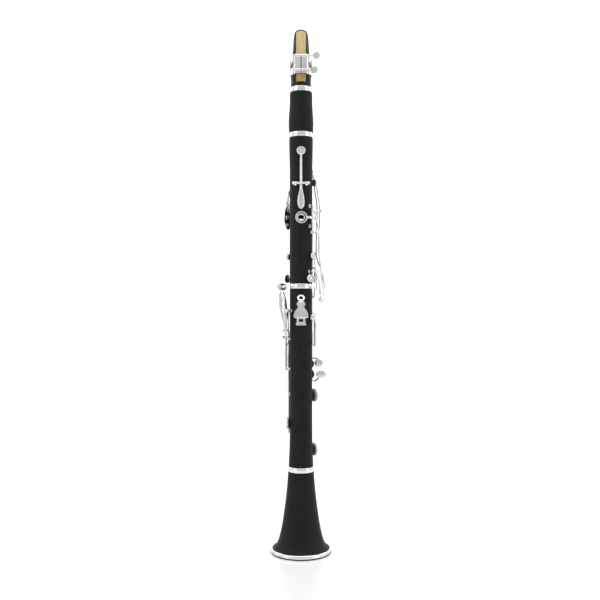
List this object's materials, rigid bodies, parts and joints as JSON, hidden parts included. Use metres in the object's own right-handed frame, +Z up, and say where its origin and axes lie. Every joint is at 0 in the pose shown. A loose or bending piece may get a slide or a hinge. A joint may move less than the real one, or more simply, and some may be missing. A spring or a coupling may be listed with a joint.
{
  "type": "clarinet",
  "caption": "Boehm-system soprano clarinet standing on its bell, black body with plated keywork, cane reed and two-screw ligature.",
  "frame": {"origin": "centre of the bell's rim, on the bore axis, at the face it stands on", "axes": "+Z up the bore to the mouthpiece tip; -Y is the player's side, with reed, thumb hole and thumb rest; +X is the player's right"},
  "size_m": [0.0776, 0.0776, 0.665],
  "materials": {
    "black_body": "fine satin, turned",
    "mouthpiece_black": "polished",
    "plated": "polished nickel plate",
    "plated_ring": "polished nickel plate",
    "rod_steel": "fine turned",
    "blued_spring": "blued",
    "cork": "soft cork",
    "pad_skin": "thin skin",
    "cane": "shaved cane"
  },
  "bodies": {
    "bell": {"bell_body": "black_body", "bell_rings": "plated_ring"},
    "lower_joint": {"lower_joint_body": "black_body", "lower_joint_ring": "plated_ring", "lower_tenon_cork": "cork", "lower_posts": "plated", "lower_hinge_rods": "rod_steel", "lower_needle_springs": "blued_spring", "thumb_rest_base": "plated", "thumb_rest_fixing_screws": "plated", "thumb_rest_lock_screw": "plated"},
    "thumb_rest": {"thumb_rest_slider": "plated"},
    "upper_joint": {"upper_joint_body": "black_body", "upper_tenon_corks": "cork", "upper_bushes": "plated", "upper_posts": "plated", "upper_hinge_rods": "rod_steel", "upper_needle_springs": "blued_spring"},
    "barrel": {"barrel_body": "black_body", "barrel_rings": "plated_ring"},
    "mouthpiece": {"mouthpiece_body": "mouthpiece_black", "mouthpiece_cork": "cork", "reed": "cane"},
    "ligature": {"ligature_band": "plated"},
    "ligature_screw_high": {"ligature_screw_upper": "plated"},
    "ligature_screw_low": {"ligature_screw_lower": "plated"},
    "register_key": {"register_key": "plated", "register_pad": "pad_skin"},
    "thumb_ring_key": {"thumb_ring_key": "plated"},
    "a_key": {"a_key": "plated", "a_pad": "pad_skin"},
    "ab_key": {"ab_key": "plated", "ab_pad": "pad_skin"},
    "trill_key_1": {"trill_key_1": "plated"},
    "trill_key_2": {"trill_key_2": "plated"},
    "trill_key_3": {"trill_key_3": "plated"},
    "trill_key_4": {"trill_key_4": "plated"},
    "index_ring_key": {"index_ring_key": "plated", "index_ring_pad": "pad_skin"},
    "middle_ring_key": {"middle_ring_key": "plated", "middle_ring_pad": "pad_skin"},
    "cs_gs_key": {"cs_gs_key": "plated", "cs_gs_pad": "pad_skin"},
    "eb_bb_sliver_key": {"eb_bb_sliver_key": "plated", "eb_bb_sliver_pad": "pad_skin"},
    "lower_ring_key": {"lower_ring_key": "plated", "lower_ring_pad": "pad_skin"},
    "b_fs_sliver_key": {"b_fs_sliver_key": "plated", "b_fs_sliver_pad": "pad_skin"},
    "f_c_key": {"f_c_key": "plated", "f_c_pad": "pad_skin"},
    "e_b_key": {"e_b_key": "plated", "e_b_pad": "pad_skin"},
    "fs_cs_key": {"fs_cs_key": "plated", "fs_cs_pad": "pad_skin"},
    "ab_eb_key": {"ab_eb_key": "plated", "ab_eb_pad": "pad_skin"},
    "left_e_b_lever": {"left_e_b_lever": "plated"},
    "left_fs_cs_lever": {"left_fs_cs_lever": "plated"},
    "left_f_c_lever": {"left_f_c_lever": "plated"}
  },
  "joints": [
    {"name": "bell_tenon", "type": "slide", "parent": "bell", "child": "lower_joint", "axis": [0, 0, 1], "range_m": [0, 0.018]},
    {"name": "middle_tenon", "type": "slide", "parent": "lower_joint", "child": "upper_joint", "axis": [0, 0, 1], "range_m": [0, 0.021]},
    {"name": "barrel_tenon", "type": "slide", "parent": "upper_joint", "child": "barrel", "axis": [0, 0, 1], "range_m": [0, 0.015]},
    {"name": "mouthpiece_tenon", "type": "slide", "parent": "barrel", "child": "mouthpiece", "axis": [0, 0, 1], "range_m": [0, 0.0155]},
    {"name": "ligature_slide", "type": "slide", "parent": "mouthpiece", "child": "ligature", "axis": [0, 0, 1], "range_m": [0, 0.008]},
    {"name": "ligature_screw_high_turn", "type": "hinge", "parent": "ligature", "child": "ligature_screw_high", "pos_m": [0, -0.0174, 0.6294], "axis": [1, 0, 0], "range_deg": [-180, 180]},
    {"name": "ligature_screw_low_turn", "type": "hinge", "parent": "ligature", "child": "ligature_screw_low", "pos_m": [0, -0.0174, 0.6114], "axis": [1, 0, 0], "range_deg": [-180, 180]},
    {"name": "thumb_rest_adjust", "type": "slide", "parent": "lower_joint", "child": "thumb_rest", "axis": [0, 0, 1], "range_m": [-0.0015, 0.0015]},
    {"name": "register_key_rock", "type": "hinge", "parent": "upper_joint", "child": "register_key", "pos_m": [0, -0.0178, 0.469], "axis": [1, 0, 0], "range_deg": [0, 5], "stiffness_Nm_per_rad": 0.02, "springref_deg": -40.11},
    {"name": "a_key_rock", "type": "hinge", "parent": "upper_joint", "child": "a_key", "pos_m": [-0.00127, 0.01816, 0.451], "axis": [-0.9976, -0.0698, 0], "range_deg": [0, 7], "stiffness_Nm_per_rad": 0.02, "springref_deg": -40.11},
    {"name": "ab_key_rock", "type": "hinge", "parent": "upper_joint", "child": "ab_key", "pos_m": [-0.01509, 0.01018, 0.446], "axis": [-0.5592, -0.829, 0], "range_deg": [0, 4], "stiffness_Nm_per_rad": 0.02, "springref_deg": -40.11},
    {"name": "trill_key_1_rock", "type": "hinge", "parent": "upper_joint", "child": "trill_key_1", "pos_m": [0.02163, 0.0115, 0.436], "axis": [-0.4695, 0.8829, 0], "range_deg": [0, 2.6], "stiffness_Nm_per_rad": 0.02, "springref_deg": -40.11},
    {"name": "trill_key_2_rock", "type": "hinge", "parent": "upper_joint", "child": "trill_key_2", "pos_m": [0.02163, 0.0115, 0.436], "axis": [-0.4695, 0.8829, 0], "range_deg": [0, 2.6], "stiffness_Nm_per_rad": 0.02, "springref_deg": -40.11},
    {"name": "trill_key_3_rock", "type": "hinge", "parent": "upper_joint", "child": "trill_key_3", "pos_m": [0.02193, -0.00547, 0.408], "axis": [0.2419, 0.9703, 0], "range_deg": [0, 3.2], "stiffness_Nm_per_rad": 0.02, "springref_deg": -40.11},
    {"name": "trill_key_4_rock", "type": "hinge", "parent": "upper_joint", "child": "trill_key_4", "pos_m": [0.01767, -0.0102, 0.358], "axis": [0.5, 0.866, 0], "range_deg": [0, 6], "stiffness_Nm_per_rad": 0.02, "springref_deg": -40.11},
    {"name": "left_e_b_lever_rock", "type": "hinge", "parent": "lower_joint", "child": "left_e_b_lever", "pos_m": [-0.01956, -0.00416, 0.308], "axis": [0.2079, -0.9781, 0], "range_deg": [-4, 1]},
    {"name": "left_fs_cs_lever_rock", "type": "hinge", "parent": "lower_joint", "child": "left_fs_cs_lever", "pos_m": [-0.01956, -0.00416, 0.308], "axis": [0.2079, -0.9781, 0], "range_deg": [-4, 1]},
    {"name": "thumb_ring_key_turn", "type": "hinge", "parent": "upper_joint", "child": "thumb_ring_key", "pos_m": [0.01486, -0.01338, 0], "axis": [0, 0, 1], "range_deg": [-7, 0], "stiffness_Nm_per_rad": 0.02, "springref_deg": 40.11},
    {"name": "index_ring_key_turn", "type": "hinge", "parent": "upper_joint", "child": "index_ring_key", "pos_m": [0.0139, 0.01251, 0], "axis": [0, 0, 1], "range_deg": [0, 8], "stiffness_Nm_per_rad": 0.02, "springref_deg": -40.11},
    {"name": "middle_ring_key_turn", "type": "hinge", "parent": "upper_joint", "child": "middle_ring_key", "pos_m": [0.0139, 0.01251, 0], "axis": [0, 0, 1], "range_deg": [0, 8], "stiffness_Nm_per_rad": 0.02, "springref_deg": -40.11},
    {"name": "cs_gs_key_turn", "type": "hinge", "parent": "upper_joint", "child": "cs_gs_key", "pos_m": [0.01796, 0.00126, 0], "axis": [0, 0, 1], "range_deg": [0, 7], "stiffness_Nm_per_rad": 0.02, "springref_deg": -40.11},
    {"name": "eb_bb_sliver_key_turn", "type": "hinge", "parent": "upper_joint", "child": "eb_bb_sliver_key", "pos_m": [-0.01338, 0.01204, 0], "axis": [0, 0, 1], "range_deg": [-9, 0], "stiffness_Nm_per_rad": 0.02, "springref_deg": 40.11},
    {"name": "lower_ring_key_turn", "type": "hinge", "parent": "lower_joint", "child": "lower_ring_key", "pos_m": [0.0139, 0.01251, 0], "axis": [0, 0, 1], "range_deg": [0, 8], "stiffness_Nm_per_rad": 0.02, "springref_deg": -40.11},
    {"name": "b_fs_sliver_key_turn", "type": "hinge", "parent": "lower_joint", "child": "b_fs_sliver_key", "pos_m": [0.01798, -0.00094, 0], "axis": [0, 0, 1], "range_deg": [0, 9], "stiffness_Nm_per_rad": 0.02, "springref_deg": -40.11},
    {"name": "f_c_key_turn", "type": "hinge", "parent": "lower_joint", "child": "f_c_key", "pos_m": [0.007, 0.01734, 0], "axis": [0, 0, 1], "range_deg": [-8, 0], "stiffness_Nm_per_rad": 0.02, "springref_deg": 40.11},
    {"name": "e_b_key_turn", "type": "hinge", "parent": "lower_joint", "child": "e_b_key", "pos_m": [-0.01202, 0.01432, 0], "axis": [0, 0, 1], "range_deg": [-5, 0], "stiffness_Nm_per_rad": 0.02, "springref_deg": 40.11},
    {"name": "fs_cs_key_turn", "type": "hinge", "parent": "lower_joint", "child": "fs_cs_key", "pos_m": [-0.01586, 0.00991, 0], "axis": [0, 0, 1], "range_deg": [-8, 0], "stiffness_Nm_per_rad": 0.02, "springref_deg": 40.11},
    {"name": "ab_eb_key_turn", "type": "hinge", "parent": "lower_joint", "child": "ab_eb_key", "pos_m": [0.007, 0.01734, 0], "axis": [0, 0, 1], "range_deg": [-8, 0], "stiffness_Nm_per_rad": 0.02, "springref_deg": 40.11},
    {"name": "left_f_c_lever_turn", "type": "hinge", "parent": "lower_joint", "child": "left_f_c_lever", "pos_m": [-0.01953, -0.00171, 0], "axis": [0, 0, 1], "range_deg": [-5, 0], "stiffness_Nm_per_rad": 0.02, "springref_deg": 40.11}
  ],
  "couplings": [
    {"joint": "left_e_b_lever_rock", "follows": "e_b_key_turn", "ratio": 0.617},
    {"joint": "left_fs_cs_lever_rock", "follows": "fs_cs_key_turn", "ratio": 0.364}
  ]
}
